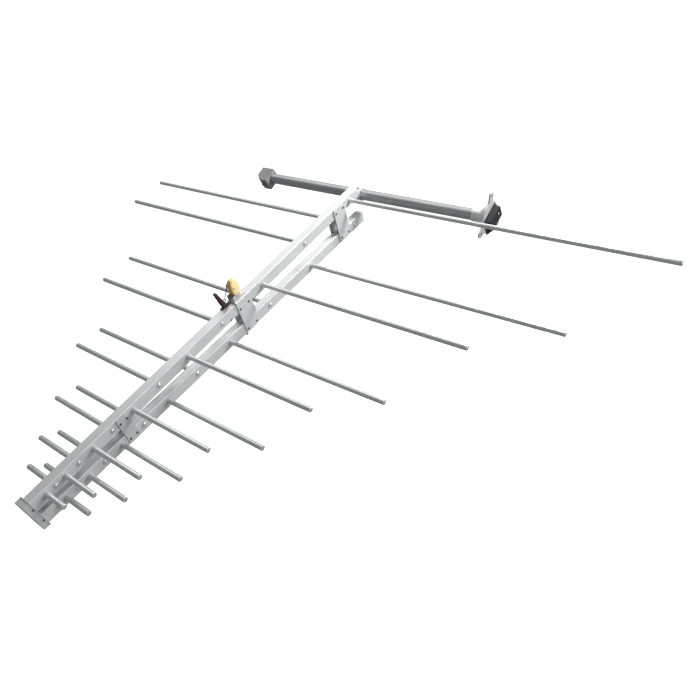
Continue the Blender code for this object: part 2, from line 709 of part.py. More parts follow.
def add_cables(anchors, tube):
    """Coaxial cable in the upper boom, in two lengths that meet at the joint, and in the tube."""
    gap = 1 * MM
    for name, anchor, start, end, plug_at_end in (
        ("feed_cable_front", anchors["upper", "front"], FEED_PIN_Y + 6 * MM, JOINT_Y - gap, True),
        ("feed_cable_rear", anchors["upper", "rear"], JOINT_Y + gap,
         BOOM_REAR_Y - SADDLE_SPIGOT + 4 * MM, False),
    ):
        thin, thick = CABLE_RADIUS, CABLE_PLUG_RADIUS
        if plug_at_end:
            shoulder = end - CABLE_PLUG_LENGTH
            profile = ((start, thin), (shoulder, thin), (shoulder, thick), (end, thick))
        else:
            shoulder = start + CABLE_PLUG_LENGTH
            profile = ((start, thick), (shoulder, thick), (shoulder, thin), (end, thin))
        shape = turned(profile, "Y", ROUND_SIDES, (CABLE_X, CABLE_OFFSET))
        add_piece(name, shape, anchor, "cable_jacket")
    inside = TUBE_RADIUS - TUBE_WALL - CABLE_RADIUS - SEAT_GAP
    start = SADDLE_WIDTH / 2
    end = TUBE_RIGHT_X - 4 * MM
    shape = turned(((start, CABLE_RADIUS), (end, CABLE_RADIUS)), "X", ROUND_SIDES, (0, -inside))
    add_piece("feed_cable_tube", shape, tube, "cable_jacket")


# ---- rear end and cross tube -----------------------------------------------------------------

def add_end_plug(anchor):
    """Plug in the lower boom's rear end."""
    edge = 1.5 * MM
    inner = (BOOM_WIDTH / 2 - BOOM_WALL - SLIDING_CLEARANCE,
             BOOM_HEIGHT / 2 - BOOM_WALL - SLIDING_CLEARANCE)
    outer = (BOOM_WIDTH / 2, BOOM_HEIGHT / 2)
    start = BOOM_REAR_Y - 12 * MM
    face = BOOM_REAR_Y + SEAT_GAP
    end = face + 2.5 * MM
    rings = [
        rectangle(*inner, start, "Y"), rectangle(*inner, face, "Y"),
        rectangle(*outer, face, "Y"), rectangle(*outer, end - edge, "Y"),
        rectangle(outer[0] - edge, outer[1] - edge, end, "Y"),
    ]
    add_piece("lower_boom_end_plug", loft(rings), anchor, "grey_plastic")


def add_saddle(rear):
    """Block in the upper boom's rear end that carries the tube in a ring, and its set bolt."""
    half = BOOM_WIDTH / 2 - BOOM_WALL - SLIDING_CLEARANCE
    # The block stands level in a boom that slopes, so its height leaves room for the slope.
    reach = (BOOM_HEIGHT / 2 - BOOM_WALL - SLIDING_CLEARANCE
             - BOOM_SLOPE * SADDLE_SPIGOT / 2)
    middle = half_spacing(BOOM_REAR_Y - SADDLE_SPIGOT / 2) - TUBE_Z
    boom_end = BOOM_REAR_Y - TUBE_Y
    ring = TUBE_RADIUS + SLIDING_CLEARANCE + SADDLE_WALL
    saddle = add_piece(
        "tube_saddle",
        box((-half, boom_end - SADDLE_SPIGOT, middle - reach),
            (half, boom_end + 2 * SEAT_GAP + 1 * MM, middle + reach)),
        rear, "cast_aluminium")
    neck = box((-half + 0.1 * MM, boom_end + SEAT_GAP, 0),
               (half - 0.1 * MM, -TUBE_RADIUS / 2, ring * 0.9))
    combine(saddle, neck, "UNION")
    width = SADDLE_WIDTH / 2
    combine(saddle, turned(((-width, ring), (width, ring)), "X", TUBE_SIDES), "UNION")
    bore = TUBE_RADIUS + SLIDING_CLEARANCE
    span = ((-SADDLE_WIDTH, bore), (SADDLE_WIDTH, bore))
    combine(saddle, turned(span, "X", TUBE_SIDES), "DIFFERENCE")
    hole = SADDLE_BOLT_RADIUS + HOLE_CLEARANCE
    combine(saddle, turned(((TUBE_RADIUS, hole), (ring + SADDLE_WALL, hole)), "Z"), "DIFFERENCE")
    cable_hole = CABLE_RADIUS + SLIDING_CLEARANCE + 0.4 * MM
    cable_z = half_spacing(BOOM_REAR_Y - SADDLE_SPIGOT) + CABLE_OFFSET - TUBE_Z
    entry = turned(((boom_end - 2 * SADDLE_SPIGOT, cable_hole), (-TUBE_RADIUS / 3, cable_hole)),
                   "Y", ROUND_SIDES, (CABLE_X, cable_z))
    combine(saddle, entry, "DIFFERENCE")

    seat = ring + SEAT_GAP
    profile = (
        (TUBE_RADIUS + SEAT_GAP, SADDLE_BOLT_RADIUS), (seat, SADDLE_BOLT_RADIUS),
        (seat, SADDLE_BOLT_HEAD), (seat + 2.5 * MM, SADDLE_BOLT_HEAD),
        (seat + 3 * MM, SADDLE_BOLT_HEAD * 0.85),
    )
    add_piece("saddle_bolt", turned(profile, "Z"), rear, "zinc_steel")


def add_tube(tube):
    inner = TUBE_RADIUS - TUBE_WALL
    profile = ((TUBE_LEFT_X, TUBE_RADIUS), (TUBE_RIGHT_X, TUBE_RADIUS),
               (TUBE_RIGHT_X, inner), (TUBE_LEFT_X, inner))
    piece = add_piece("cross_tube", turned_ring(profile), tube, "tube_aluminium")
    slot_half = SADDLE_WIDTH / 2 - SADDLE_WALL
    slot = box((-slot_half, -TUBE_RADIUS - SADDLE_WALL, -2 * MM),
               (slot_half, -TUBE_RADIUS / 2, TUBE_RADIUS * 0.85))
    combine(piece, slot, "DIFFERENCE")


def add_housing(roll):
    """Junction box on the tube's left end: chamfered body, top cover and a connector."""
    inner_x = HOUSING_INNER_X
    outer_x = inner_x - HOUSING_LENGTH
    cut = HOUSING_CHAMFER
    outline = [
        (inner_x, HOUSING_FRONT), (inner_x, HOUSING_BACK), (outer_x, HOUSING_BACK),
        (outer_x, HOUSING_FRONT + cut), (outer_x + cut, HOUSING_FRONT),
    ]
    body = add_piece("end_housing", prism(outline, HOUSING_BOTTOM, HOUSING_TOP, "Z"), roll,
                     "cast_aluminium")
    wall = HOUSING_WALL
    slope = wall * math.tan(math.radians(22.5))
    bay_x = TUBE_LEFT_X - SEAT_GAP
    bay = [
        (bay_x - wall, HOUSING_FRONT + wall), (bay_x - wall, HOUSING_BACK - wall),
        (outer_x + wall, HOUSING_BACK - wall), (outer_x + wall, HOUSING_FRONT + cut + slope),
        (outer_x + cut + slope, HOUSING_FRONT + wall),
    ]
    combine(body, prism(bay, HOUSING_BOTTOM + wall, HOUSING_TOP + wall, "Z"), "DIFFERENCE")
    socket = TUBE_RADIUS + SLIDING_CLEARANCE
    span = ((TUBE_LEFT_X - SEAT_GAP, socket), (inner_x + wall, socket))
    combine(body, turned(span, "X", TUBE_SIDES), "DIFFERENCE")
    passage = ((TUBE_LEFT_X - 3 * wall, CABLE_EXIT_RADIUS), (TUBE_LEFT_X, CABLE_EXIT_RADIUS))
    combine(body, turned(passage), "DIFFERENCE")

    top = HOUSING_TOP + SEAT_GAP
    cover = prism(outline, top, top + COVER_THICKNESS, "Z")
    add_piece("housing_cover", cover, roll, "cast_aluminium")

    connector_x = outer_x + cut + CONNECTOR_RADIUS + 2 * MM
    connector_z = (HOUSING_BOTTOM + HOUSING_TOP) / 2
    hole = CONNECTOR_RADIUS - 1.5 * MM
    centre = (connector_x, connector_z)
    span = ((HOUSING_FRONT - wall, hole + HOLE_CLEARANCE),
            (HOUSING_FRONT + 2 * wall, hole + HOLE_CLEARANCE))
    combine(body, turned(span, "Y", 16, centre), "DIFFERENCE")
    face = HOUSING_FRONT - SEAT_GAP
    mouth = face - CONNECTOR_STICK_OUT
    profile = (
        (HOUSING_FRONT + wall + 1 * MM, hole), (face, hole), (face, CONNECTOR_RADIUS),
        (mouth, CONNECTOR_RADIUS), (mouth, CONNECTOR_BORE), (face, CONNECTOR_BORE),
    )
    add_piece("signal_connector", turned(profile, "Y", 16, centre), roll, "brass")


def flange_radius(angle):
    """Edge of the flange: a disc with three rounded ears."""
    edge = FLANGE_RADIUS
    for ear in EAR_ANGLES:
        offset = angle - math.radians(ear)
        across = EAR_CIRCLE_RADIUS * abs(math.sin(offset))
        if math.cos(offset) > 0 and across < EAR_RADIUS:
            end = EAR_CIRCLE_RADIUS * math.cos(offset)
            edge = max(edge, end + math.sqrt(EAR_RADIUS ** 2 - across ** 2))
        elif math.cos(offset) > 0:
            side = EAR_RADIUS / abs(math.sin(offset))
            edge = max(edge, min(side, EAR_CIRCLE_RADIUS))
    return edge


def add_flange(roll):
    """Flared neck on the tube and a three-eared plate, with the ribbed contact block on it."""
    back = FLANGE_FACE_X - FLANGE_THICKNESS
    flare = []
    steps = 6
    for step in range(steps + 1):
        share = step / steps
        along = FLANGE_FLARE_X + (back - FLANGE_FLARE_X) * share
        radius = FLANGE_NECK_RADIUS + (FLANGE_RADIUS - 1 * MM - FLANGE_NECK_RADIUS) * share ** 1.6
        flare.append((along, radius))
    neck = [(FLANGE_NECK_X, FLANGE_NECK_RADIUS)] + flare + [
        (FLANGE_FACE_X - 1 * MM, FLANGE_RADIUS - 1 * MM)]
    samples = 90
    outline = []
    for step in range(samples):
        angle = 2 * math.pi * step / samples
        radius = flange_radius(angle)
        outline.append((radius * math.cos(angle), radius * math.sin(angle)))
    flange = add_piece("mast_flange", prism(outline, back, FLANGE_FACE_X, "X"), roll,
                       "cast_aluminium")
    combine(flange, turned(neck, "X", TUBE_SIDES), "UNION")
    bore = TUBE_RADIUS + SLIDING_CLEARANCE
    span = ((FLANGE_NECK_X - 1 * MM, bore), (TUBE_RIGHT_X + SEAT_GAP, bore))
    combine(flange, turned(span, "X", TUBE_SIDES), "DIFFERENCE")
    holes = [turned(((TUBE_RIGHT_X - 1 * MM, CABLE_EXIT_RADIUS),
                     (FLANGE_FACE_X + 1 * MM, CABLE_EXIT_RADIUS)))]
    for ear in EAR_ANGLES:
        angle = math.radians(ear)
        centre = (EAR_CIRCLE_RADIUS * math.cos(angle), EAR_CIRCLE_RADIUS * math.sin(angle))
        span = ((back - 1 * MM, EAR_HOLE_RADIUS), (FLANGE_FACE_X + 1 * MM, EAR_HOLE_RADIUS))
        holes.append(turned(span, "X", ROUND_SIDES, centre))
    combine(flange, joined(*holes), "DIFFERENCE")
    half_width = BLOCK_HALF_WIDTH + HOLE_CLEARANCE
    low = (FLANGE_FACE_X - BLOCK_POCKET_DEPTH, -half_width, BLOCK_BOTTOM - HOLE_CLEARANCE)
    high = (FLANGE_FACE_X + BLOCK_POCKET_DEPTH, half_width, BLOCK_TOP + HOLE_CLEARANCE)
    combine(flange, box(low, high), "DIFFERENCE")
    add_contact_block(roll)


def block_ring(share, inset):
    """Outline of the contact block at a share of its length, from the flange outwards."""
    along = BLOCK_SEAT_X + BLOCK_LENGTH * share
    half_width = BLOCK_HALF_WIDTH + (BLOCK_END_HALF_WIDTH - BLOCK_HALF_WIDTH) * share - inset
    top = BLOCK_TOP + (BLOCK_END_TOP - BLOCK_TOP) * share - inset
    bottom = BLOCK_BOTTOM + (BLOCK_END_BOTTOM - BLOCK_BOTTOM) * share + inset
    return rectangle(half_width, (top - bottom) / 2, along, "X", (0, (top + bottom) / 2))


def add_contact_block(roll):
    """Ribbed moulding that narrows outwards, with a round contact in its end."""
    rings = [block_ring(0, 0)]
    pitch = 0.8 / BLOCK_RIB_COUNT
    for index in range(BLOCK_RIB_COUNT):
        start = 0.1 + pitch * index
        for share, inset in ((0, 0), (0.2, BLOCK_RIB_DEPTH), (0.5, BLOCK_RIB_DEPTH), (0.7, 0)):
            rings.append(block_ring(start + pitch * share, inset))
    rings.append(block_ring(0.95, 0))
    rings.append(block_ring(1, BLOCK_RIB_DEPTH))
    block = add_piece("contact_block", loft(rings), roll, "black_plastic")
    end = BLOCK_SEAT_X + BLOCK_LENGTH
    hole = CONTACT_RADIUS + HOLE_CLEARANCE
    span = ((end - CONTACT_DEPTH, hole), (end + CONTACT_DEPTH, hole))
    combine(block, turned(span, "X", ROUND_SIDES, CONTACT_PLACE), "DIFFERENCE")
    tip = end + CONTACT_STICK_OUT
    profile = ((end - CONTACT_DEPTH + SEAT_GAP, CONTACT_RADIUS),
               (tip - CONTACT_RADIUS * 0.2, CONTACT_RADIUS), (tip, CONTACT_RADIUS * 0.7))
    pin = turned(profile, "X", ROUND_SIDES, CONTACT_PLACE)
    add_piece("contact_pin", pin, roll, "brass")


# ---- assembly --------------------------------------------------------------------------------

def build():
    origin = add_anchor("array_origin", None, (0, 0, 0))
    tube_place = (0, TUBE_Y, TUBE_Z)
    tube = add_anchor("tube_axis", origin, tube_place)
    roll = add_anchor("tube_end_roll", tube, tube_place, END_ROLL)
    rear = add_anchor("rear_section", origin, tube_place)
    front = add_anchor("front_section", rear, (0, JOINT_Y, HINGE_Z))
    lever = add_anchor("lever_axis", rear, (LATCH_X, LATCH_PIN_Y, LATCH_PIN_Z))
    link_place = (LATCH_X, LATCH_PIN_Y, LATCH_PIN_Z + LINK_PIVOT)
    link = add_anchor("link_axis", lever, link_place, -LINK_DROP)

    anchors = {}
    for section_name, section in (("front", front), ("rear", rear)):
        for level, side in (("upper", 1), ("lower", -1)):
            name = f"{level}_{section_name}_line"
            anchors[level, section_name] = boom_anchor(name, section, side)

    places = element_positions()
    ahead = [place for place in places if place[0] < JOINT_Y]
    behind = [place for place in places if place[0] > JOINT_Y]
    for level, side in (("upper", 1), ("lower", -1)):
        add_boom(f"{level}_boom_front", anchors[level, "front"], BOOM_FRONT_Y,
                 JOINT_Y - SEAT_GAP, ahead, [feed_pin_hole(side)])
        add_boom(f"{level}_boom_rear", anchors[level, "rear"], JOINT_Y + SEAT_GAP,
                 BOOM_REAR_Y, behind)
    add_elements(places, anchors)
    add_nose(anchors, front)
    add_spreaders("front", front, FRONT_PLATE_Y, FRONT_PLATE_LENGTH)
    add_spreaders("rear", rear, REAR_PLATE_Y, REAR_PLATE_LENGTH)
    add_bracket(rear)
    add_hinge(front, rear)
    add_latch_base(rear)
    add_lever(lever)
    add_link(lever, link)
    add_catch(anchors["upper", "front"])
    add_cables(anchors, tube)
    add_end_plug(anchors["lower", "rear"])
    add_saddle(rear)
    add_tube(tube)
    add_housing(roll)
    add_flange(roll)


clear_scene()
MATERIALS = make_materials()
build()
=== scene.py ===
import json
import math

import bpy
import numpy as np
from mathutils import Matrix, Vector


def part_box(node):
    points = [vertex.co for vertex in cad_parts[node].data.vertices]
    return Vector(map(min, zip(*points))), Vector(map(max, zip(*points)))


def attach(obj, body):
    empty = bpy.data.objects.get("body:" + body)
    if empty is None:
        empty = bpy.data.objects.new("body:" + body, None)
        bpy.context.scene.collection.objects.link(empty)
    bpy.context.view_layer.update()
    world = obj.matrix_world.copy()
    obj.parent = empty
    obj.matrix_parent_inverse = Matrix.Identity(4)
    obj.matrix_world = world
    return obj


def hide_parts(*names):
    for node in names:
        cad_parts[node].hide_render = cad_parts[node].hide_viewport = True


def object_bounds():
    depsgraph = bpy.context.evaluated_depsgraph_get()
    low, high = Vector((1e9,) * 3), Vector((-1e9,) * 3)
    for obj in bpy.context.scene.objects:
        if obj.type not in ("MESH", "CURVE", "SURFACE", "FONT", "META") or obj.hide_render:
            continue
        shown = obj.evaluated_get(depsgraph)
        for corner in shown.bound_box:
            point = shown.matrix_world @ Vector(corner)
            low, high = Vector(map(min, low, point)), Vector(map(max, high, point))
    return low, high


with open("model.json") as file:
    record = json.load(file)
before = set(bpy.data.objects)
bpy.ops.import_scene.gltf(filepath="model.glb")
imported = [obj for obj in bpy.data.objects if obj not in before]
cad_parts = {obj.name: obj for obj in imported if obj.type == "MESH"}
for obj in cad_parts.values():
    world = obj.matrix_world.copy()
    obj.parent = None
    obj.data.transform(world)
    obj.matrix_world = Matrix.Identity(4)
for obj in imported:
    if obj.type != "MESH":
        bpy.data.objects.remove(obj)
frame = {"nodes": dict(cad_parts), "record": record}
cadLow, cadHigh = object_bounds()
mm = 0.001
bodyOf = {node: body
          for body, nodes in frame["record"]["behaviour"]["bodies"].items()
          for node in nodes}
slotOf = {part["node"]: part["material_slot"] for part in frame["record"]["subparts"]}
print("frame loaded:", len(bodyOf), "nodes")

# Driving sizes of the part, in millimetres, measured from the first element.
partSizes = {
    "noseHalfSpacing": 17.3,   # boom centre line above the middle plane at the first element
    "boomSlope": 0.018,
    "boomWidth": 20.0,
    "boomHeight": 25.0,
    "boomWall": 1.5,
    "tubeWall": 1.5,
    "flangeFace": 335.0,       # the flange's seat is the frame's origin
    "tubeBehind": 911.5,
    "tubeDrop": 16.3,
    "boomRear": 895.0,
    "endRoll": 16.0,           # turn of the housing and flange about the tube, in degrees
}


def halfSpacing(y):
    # height of a boom's centre line: a straight line that rises towards the rear
    return partSizes["noseHalfSpacing"] + partSizes["boomSlope"] * y


origin = np.array((partSizes["flangeFace"], partSizes["tubeBehind"],
                   halfSpacing(partSizes["boomRear"]) - partSizes["tubeDrop"]))


def place(x, y, z):
    # a point measured from the first element, in millimetres, as a frame point in metres
    return (np.array((x, y, z), float) - origin) * mm


def rolled(x, across, up):
    # points beside the tube's axis, turned with the end fittings, as frame points in metres
    turn = math.radians(partSizes["endRoll"])
    y = across * math.cos(turn) - up * math.sin(turn)
    z = across * math.sin(turn) + up * math.cos(turn)
    return np.stack(np.broadcast_arrays(x - partSizes["flangeFace"], y, z), -1) * mm


# ---------- surfaces

def ringFaces(rows, columns, closeRows=False):
    # quads between neighbouring rings of a grid whose columns run round and close
    row = np.arange(rows if closeRows else rows - 1)[:, None]
    column = np.arange(columns)[None, :]
    after, beside = (row + 1) % rows, (column + 1) % columns
    quads = np.stack(np.broadcast_arrays(row * columns + column, row * columns + beside,
                                         after * columns + beside, after * columns + column), -1)
    return quads.reshape(-1, 4).tolist()


def signedVolume(points, faces):
    # sum over each face's fan of triangles of the volume it spans with the middle of the piece
    centred = points - points.mean(0)
    total = 0.0
    for size in {len(face) for face in faces}:
        corners = centred[np.array([face for face in faces if len(face) == size])]
        for k in range(1, size - 1):
            total += np.einsum("ij,ij->", corners[:, 0], np.cross(corners[:, k], corners[:, k + 1]))
    return total


def addPiece(name, points, faces, body, finish, standsFor=(), creaseAngle=32):
    points = np.asarray(points, float).reshape(-1, 3)
    if signedVolume(points, faces) < 0:
        faces = [face[::-1] for face in faces]
    mesh = bpy.data.meshes.new(name)
    mesh.from_pydata(points.tolist(), [], faces)
    mesh.update()
    mesh.shade_smooth()
    mesh.set_sharp_from_angle(angle=math.radians(creaseAngle))
    mesh.materials.append(finish)
    piece = bpy.data.objects.new(name, mesh)
    bpy.context.scene.collection.objects.link(piece)
    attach(piece, body)
    if standsFor:
        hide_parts(*standsFor)
    return piece


def capped(rings):
    # a stack of rings, closed by a face over its first and last ring
    rows, columns = rings.shape[:2]
    faces = ringFaces(rows, columns)
    faces.append(list(range(columns))[::-1])
    faces.append([(rows - 1) * columns + k for k in range(columns)])
    return rings.reshape(-1, 3), faces


def sideways(axis):
    # two directions square to an axis and to each other; the second is as long as the axis
    helper = np.array((0, 0, 1.0)) if abs(axis[2]) < 0.9 else np.array((1.0, 0, 0))
    across = np.cross(axis, helper)
    across /= np.linalg.norm(across)
    return across, np.cross(axis, across)


def turnedRings(profile, start, axis, sides):
    # each profile point (distance along the axis, radius) becomes a circle round the axis
    axis = np.asarray(axis, float) / np.linalg.norm(axis)
    across, up = sideways(axis)
    profile = np.asarray(profile, float) * mm
    angle = np.linspace(0, 2 * math.pi, sides, endpoint=False)
    circle = np.cos(angle)[:, None] * across + np.sin(angle)[:, None] * up
    return (np.asarray(start)[None, None] + profile[:, 0, None, None] * axis
            + profile[:, 1, None, None] * circle[None])


def roundedRectangle(width, height, radius, perCorner=5, lead=0.3):
    # four quarter circles joined by straight sides, as points across and up; a point a little
    # way along each straight side keeps the flat faces evenly shaded
    angle = np.linspace(0, math.pi / 2, perCorner)
    corners = []
    for k, (sx, sy) in enumerate(((1, 1), (-1, 1), (-1, -1), (1, -1))):
        turn = angle + k * math.pi / 2
        arc = np.stack((np.cos(turn), np.sin(turn)), -1) * radius
        first = arc[0] - lead * np.array((-math.sin(turn[0]), math.cos(turn[0])))
        last = arc[-1] + lead * np.array((-math.sin(turn[-1]), math.cos(turn[-1])))
        middle = np.array((sx * (width / 2 - radius), sy * (height / 2 - radius)))
        corners.append(np.vstack((first, arc, last)) + middle)
    return np.concatenate(corners)


# ---------- node groups

def newGroup(name, inputs, outputs):
    group = bpy.data.node_groups.new(name, "ShaderNodeTree")
    for label, kind, value in inputs:
        socket = group.interface.new_socket(label, in_out="INPUT", socket_type=kind)
        if value is not None:
            socket.default_value = value
    for label, kind in outputs:
        group.interface.new_socket(label, in_out="OUTPUT", socket_type=kind)
    return group, group.nodes.new("NodeGroupInput"), group.nodes.new("NodeGroupOutput")


def addNode(tree, kind, settings=None, **values):
    node = tree.nodes.new(kind)
    for key, value in (settings or {}).items():
        setattr(node, key, value)
    for key, value in values.items():
        node.inputs[key].default_value = value
    return node


def mathNode(tree, operation, first, second, clamp=False):
    node = addNode(tree, "ShaderNodeMath", {"operation": operation, "use_clamp": clamp})
    for socket, value in zip(node.inputs, (first, second)):
        if isinstance(value, (int, float)):
            socket.default_value = value
        else:
            tree.links.new(value, socket)
    return node.outputs[0]


def makeGrainGroup():
    # drawn or brushed metal: noise stretched along one direction, plus a slower cloudiness
    group, entry, result = newGroup("drawnGrain", (
        ("Vector", "NodeSocketVector", None),
        ("Stretch", "NodeSocketVector", (1, 1, 1)),
        ("Fineness", "NodeSocketFloat", 400.0),
        ("Cloud Size", "NodeSocketFloat", 12.0),
    ), (("Grain", "NodeSocketFloat"), ("Cloud", "NodeSocketFloat")))
    stretch = addNode(group, "ShaderNodeVectorMath", {"operation": "MULTIPLY"})
    group.links.new(entry.outputs["Vector"], stretch.inputs[0])
    group.links.new(entry.outputs["Stretch"], stretch.inputs[1])
    fine = addNode(group, "ShaderNodeTexNoise", Detail=3.0, Roughness=0.65)
    group.links.new(stretch.outputs[0], fine.inputs["Vector"])
    group.links.new(entry.outputs["Fineness"], fine.inputs["Scale"])
    cloud = addNode(group, "ShaderNodeTexNoise", Detail=2.0, Roughness=0.5)
    group.links.new(entry.outputs["Vector"], cloud.inputs["Vector"])
    group.links.new(entry.outputs["Cloud Size"], cloud.inputs["Scale"])
    group.links.new(fine.outputs["Fac"], result.inputs["Grain"])
    group.links.new(cloud.outputs["Fac"], result.inputs["Cloud"])
    return group


def makeScratchGroup():
    # handling marks: thin bright bands of a strongly warped and stretched noise
    group, entry, result = newGroup("handlingMarks", (
        ("Vector", "NodeSocketVector", None),
        ("Size", "NodeSocketFloat", 30.0),
        ("Width", "NodeSocketFloat", 0.02),
    ), (("Mask", "NodeSocketFloat"),))
    tilt = addNode(group, "ShaderNodeMapping", Rotation=(0.4, 0.9, 0.7), Scale=(1.0, 0.12, 1.0))
    group.links.new(entry.outputs["Vector"], tilt.inputs["Vector"])
    noise = addNode(group, "ShaderNodeTexNoise", Detail=1.5, Distortion=0.8)
    group.links.new(tilt.outputs[0], noise.inputs["Vector"])
    group.links.new(entry.outputs["Size"], noise.inputs["Scale"])
    away = mathNode(group, "ABSOLUTE", mathNode(group, "SUBTRACT", noise.outputs["Fac"], 0.5), 0.0)
    share = mathNode(group, "DIVIDE", away, entry.outputs["Width"])
    group.links.new(mathNode(group, "SUBTRACT", 1.0, share, True), result.inputs["Mask"])
    return group


def makeEdgeGroup():
    # worn edges: where a normal averaged over a small radius turns away from the face's own
    group, entry, result = newGroup("wornEdges", (
        ("Vector", "NodeSocketVector", None),
        ("Strength", "NodeSocketFloat", 6.0),
        ("Break Up", "NodeSocketFloat", 150.0),
    ), (("Mask", "NodeSocketFloat"), ("Soft Normal", "NodeSocketVector")))
    bevel = addNode(group, "ShaderNodeBevel", {"samples": 4}, Radius=0.0008)
    geometry = addNode(group, "ShaderNodeNewGeometry")
    dot = addNode(group, "ShaderNodeVectorMath", {"operation": "DOT_PRODUCT"})
    group.links.new(bevel.outputs[0], dot.inputs[0])
    group.links.new(geometry.outputs["Normal"], dot.inputs[1])
    turned = mathNode(group, "SUBTRACT", 1.0, dot.outputs["Value"], True)
    noise = addNode(group, "ShaderNodeTexNoise", Detail=3.0)
    group.links.new(entry.outputs["Vector"], noise.inputs["Vector"])
    group.links.new(entry.outputs["Break Up"], noise.inputs["Scale"])
    broken = mathNode(group, "MULTIPLY", turned, noise.outputs["Fac"])
    group.links.new(mathNode(group, "MULTIPLY", broken, entry.outputs["Strength"], True),
                    result.inputs["Mask"])
    group.links.new(bevel.outputs[0], result.inputs["Soft Normal"])
    return group


grainGroup = makeGrainGroup()
scratchGroup = makeScratchGroup()
edgeGroup = makeEdgeGroup()
print("shared effects built")

# ---------- finishes

# base and tint are the two colours that the cloudiness moves between; edge is the worn colour.
finishes = {
    "boom_aluminium": dict(base=(0.73, 0.74, 0.75), tint=(0.66, 0.675, 0.685), edge=(0.9, 0.9, 0.92),
                           metallic=0.35, rough=(0.36, 0.52), stretch=(1, 0.03, 1), fine=900,
                           bump=0.10, wear=5, marks=0.25),
    "element_aluminium": dict(base=(0.74, 0.75, 0.76), tint=(0.62, 0.64, 0.655), edge=(0.9, 0.9, 0.92),
                              metallic=0.7, rough=(0.28, 0.42), stretch=(0.03, 1, 1), fine=1100,
                              bump=0.08, wear=3, marks=0.3),
    "tube_aluminium": dict(base=(0.42, 0.425, 0.435), tint=(0.36, 0.365, 0.375), edge=(0.6, 0.6, 0.6),
                           metallic=0.6, rough=(0.3, 0.44), stretch=(0.05, 1, 1), fine=900,
                           bump=0.06, wear=3, marks=0.25),
    "grey_plastic": dict(base=(0.55, 0.555, 0.565), tint=(0.49, 0.495, 0.505), edge=(0.72, 0.72, 0.73),
                         metallic=0.0, rough=(0.45, 0.6), stretch=(1, 1, 1), fine=1800,
                         bump=0.18, wear=2.5, marks=0.15),
    "zinc_steel": dict(base=(0.66, 0.66, 0.66), tint=(0.57, 0.57, 0.565), edge=(0.8, 0.8, 0.8),
                       metallic=0.45, rough=(0.3, 0.5), stretch=(1, 1, 1), fine=500,
                       bump=0.1, wear=4, marks=0.35),
    "bronzed_steel": dict(base=(0.045, 0.03, 0.026), tint=(0.08, 0.055, 0.05), edge=(0.3, 0.24, 0.2),
                          metallic=0.6, rough=(0.32, 0.5), stretch=(1, 1, 1), fine=700,
                          bump=0.14, wear=5, marks=0.35),
    "yellow_plastic": dict(base=(0.93, 0.80, 0.46), tint=(0.9, 0.74, 0.36), edge=(1.0, 0.93, 0.74),
                           metallic=0.0, rough=(0.3, 0.42), stretch=(1, 1, 1), fine=900,
                           bump=0.06, wear=1.5, marks=0.1),
    "cast_aluminium": dict(base=(0.68, 0.68, 0.70), tint=(0.56, 0.56, 0.585), edge=(0.9, 0.9, 0.92),
                           metallic=0.25, rough=(0.42, 0.62), stretch=(1, 1, 1), fine=1300,
                           bump=0.3, wear=4, marks=0.2),
    "black_plastic": dict(base=(0.006, 0.006, 0.008), tint=(0.012, 0.012, 0.014),
                          edge=(0.06, 0.06, 0.065),
                          metallic=0.0, rough=(0.3, 0.42), stretch=(1, 1, 1), fine=1500,
                          bump=0.12, wear=0.8, marks=0.15),
    "brass": dict(base=(0.56, 0.38, 0.28), tint=(0.42, 0.27, 0.19), edge=(0.8, 0.6, 0.4),
                  metallic=1.0, rough=(0.22, 0.42), stretch=(1, 1, 1), fine=600,
                  bump=0.08, wear=4, marks=0.3),
    "cable_jacket": dict(base=(0.02, 0.02, 0.02), tint=(0.035, 0.035, 0.035), edge=(0.08, 0.08, 0.08),
                         metallic=0.0, rough=(0.5, 0.7), stretch=(1, 1, 1), fine=900,
                         bump=0.1, wear=1, marks=0.1),
    "housingCasting": dict(base=(0.3, 0.297, 0.305), tint=(0.22, 0.218, 0.225), edge=(0.6, 0.6, 0.62),
                           metallic=0.1, rough=(0.5, 0.7), stretch=(1, 1, 1), fine=700,
                           bump=0.6, wear=5, marks=0.15),
    "darkScrew": dict(base=(0.045, 0.045, 0.047), tint=(0.08, 0.08, 0.08), edge=(0.3, 0.3, 0.3),
                      metallic=0.5, rough=(0.3, 0.45), stretch=(1, 1, 1), fine=900,
                      bump=0.1, wear=4, marks=0.3),
}


finishMix = {
    "tintShare": 2.4,              # how far grain and cloudiness together carry towards the tint
    "grainRange": (0.25, 0.75),    # the part of the grain that spans the two roughnesses
    "markGloss": -0.3,             # how much smoother a handling mark is
    "reliefDepth": 0.0002,         # in metres
    # the grip's painted shade colour, for its front, which faces away from the light
    "gripPaintedShade": (0.9, 0.47, 0.06),
}


